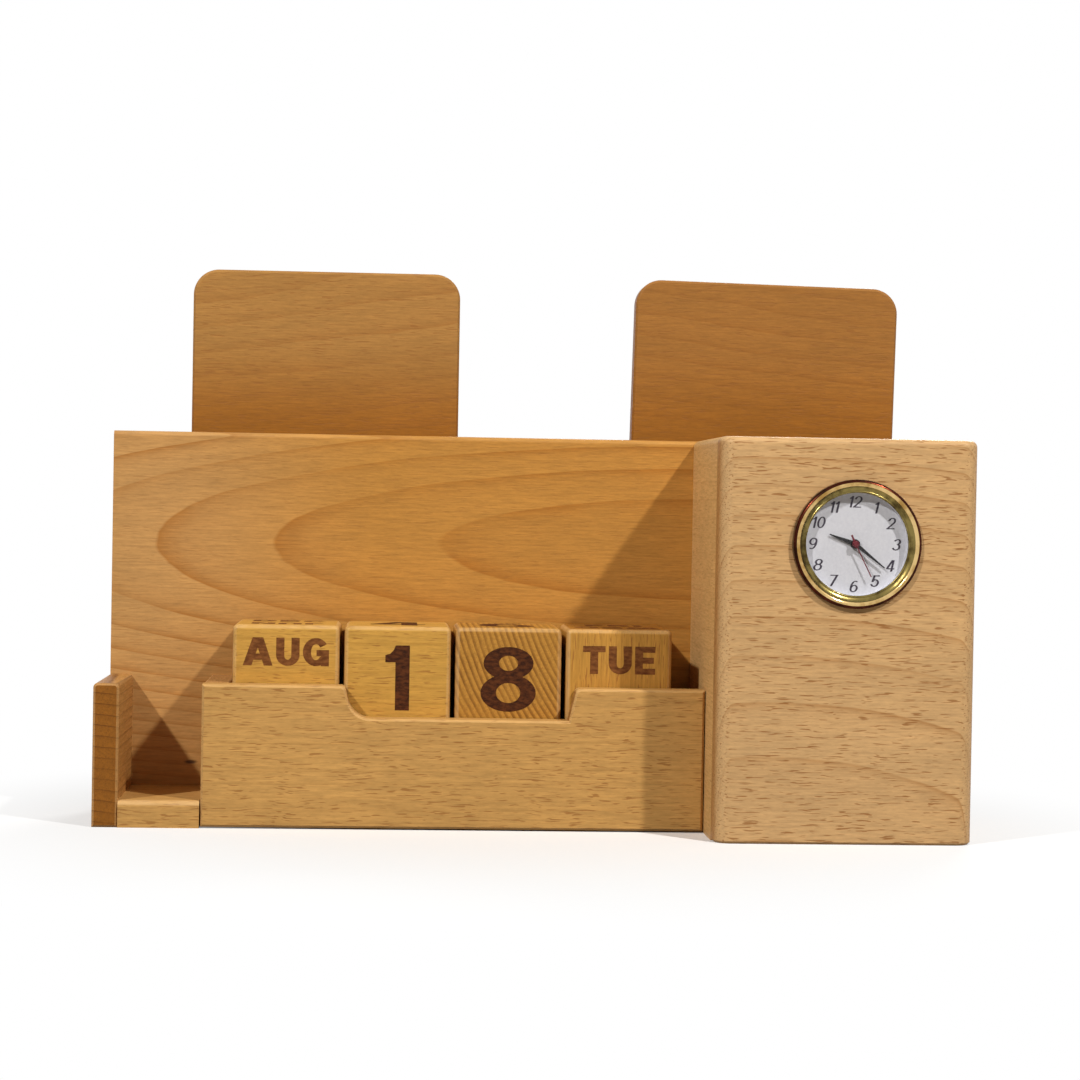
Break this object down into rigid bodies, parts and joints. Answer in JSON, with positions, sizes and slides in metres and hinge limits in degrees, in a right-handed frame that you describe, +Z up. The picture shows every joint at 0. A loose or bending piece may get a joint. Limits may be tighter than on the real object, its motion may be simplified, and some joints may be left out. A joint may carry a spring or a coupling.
{
  "type": "desk calendar with drawer",
  "caption": "Beech desk organiser: calendar cubes in a tray over a shallow drawer, open pen box with a push-in clock, end bay and upright rests behind a back panel.",
  "frame": {"origin": "middle of the whole object's footprint, on the table", "axes": "+Z up, -Y out of the front where the clock and the cubes face, +X to the right along the front"},
  "size_m": [0.254, 0.0964, 0.1683],
  "materials": {
    "beech_pale": "planed beech, satin lacquer, fine dark flecks",
    "beech_end_grain": "beech end grain, satin lacquer",
    "beech_panel": "plain-sawn beech with arched figure, satin lacquer",
    "beech_rest": "planed beech, satin lacquer",
    "beech_inner": "planed beech, bare",
    "beech_cube": "sanded beech blocks with burnt characters, satin",
    "polished_brass": "polished",
    "clear_glass": "clear",
    "white_dial": "printed matt white",
    "black_plastic": "moulded",
    "black_rubber": "soft",
    "black_hands": "gloss black",
    "red_hand": "dark red",
    "bright_steel": "plain"
  },
  "bodies": {
    "case": {"end_wall": "beech_end_grain", "base_board": "beech_pale", "tray_side": "beech_inner", "cube_shelf": "beech_inner", "back_panel": "beech_panel", "slot_floor": "beech_panel", "left_rest": "beech_rest", "right_rest": "beech_rest", "box_front": "beech_pale", "box_left_side": "beech_pale", "box_right_side": "beech_pale", "box_floor": "beech_inner"},
    "drawer": {"drawer_front": "beech_pale", "drawer_bottom": "beech_inner", "drawer_left_side": "beech_inner", "drawer_right_side": "beech_inner", "drawer_back": "beech_inner"},
    "month_block": {"month_cube": "beech_cube"},
    "tens_block": {"tens_cube": "beech_cube"},
    "units_block": {"units_cube": "beech_cube"},
    "weekday_block": {"weekday_cube": "beech_cube"},
    "clock_insert": {"bezel": "polished_brass", "lens": "clear_glass", "clock_cup": "black_plastic", "gasket": "black_rubber", "dial_ring": "white_dial", "dial": "white_dial", "movement": "black_plastic", "button_cell": "bright_steel", "back_cover": "black_plastic"},
    "hour_works": {"hour_hand": "black_hands", "hour_pipe": "bright_steel"},
    "minute_works": {"minute_hand": "black_hands", "minute_pipe": "bright_steel"},
    "second_works": {"second_hand": "red_hand", "second_arbor": "bright_steel"},
    "knob": {"setting_knob": "black_plastic"}
  },
  "joints": [
    {"name": "drawer_slide", "type": "slide", "parent": "case", "child": "drawer", "axis": [0, -1, 0], "range_m": [0, 0.028]},
    {"name": "month_lift", "type": "slide", "parent": "case", "child": "month_block", "axis": [0, 0, 1], "range_m": [0, 0.05]},
    {"name": "tens_lift", "type": "slide", "parent": "case", "child": "tens_block", "axis": [0, 0, 1], "range_m": [0, 0.05]},
    {"name": "units_lift", "type": "slide", "parent": "case", "child": "units_block", "axis": [0, 0, 1], "range_m": [0, 0.05]},
    {"name": "weekday_lift", "type": "slide", "parent": "case", "child": "weekday_block", "axis": [0, 0, 1], "range_m": [0, 0.05]},
    {"name": "clock_pull", "type": "slide", "parent": "case", "child": "clock_insert", "axis": [0, -1, 0], "range_m": [0, 0.012]},
    {"name": "second_turn", "type": "hinge", "parent": "clock_insert", "child": "second_works", "pos_m": [0.0914, -0.0448, 0.0862], "axis": [0, 1, 0], "continuous": true},
    {"name": "minute_turn", "type": "hinge", "parent": "clock_insert", "child": "minute_works", "pos_m": [0.0914, -0.0448, 0.0862], "axis": [0, 1, 0], "continuous": true},
    {"name": "hour_turn", "type": "hinge", "parent": "clock_insert", "child": "hour_works", "pos_m": [0.0914, -0.0448, 0.0862], "axis": [0, 1, 0], "continuous": true},
    {"name": "knob_turn", "type": "hinge", "parent": "clock_insert", "child": "knob", "pos_m": [0.08645, -0.0448, 0.09115], "axis": [0, 1, 0], "continuous": true}
  ],
  "couplings": [
    {"joint": "second_turn", "follows": "minute_turn", "ratio": 60},
    {"joint": "hour_turn", "follows": "minute_turn", "ratio": 0.083333},
    {"joint": "knob_turn", "follows": "minute_turn", "ratio": 1}
  ]
}
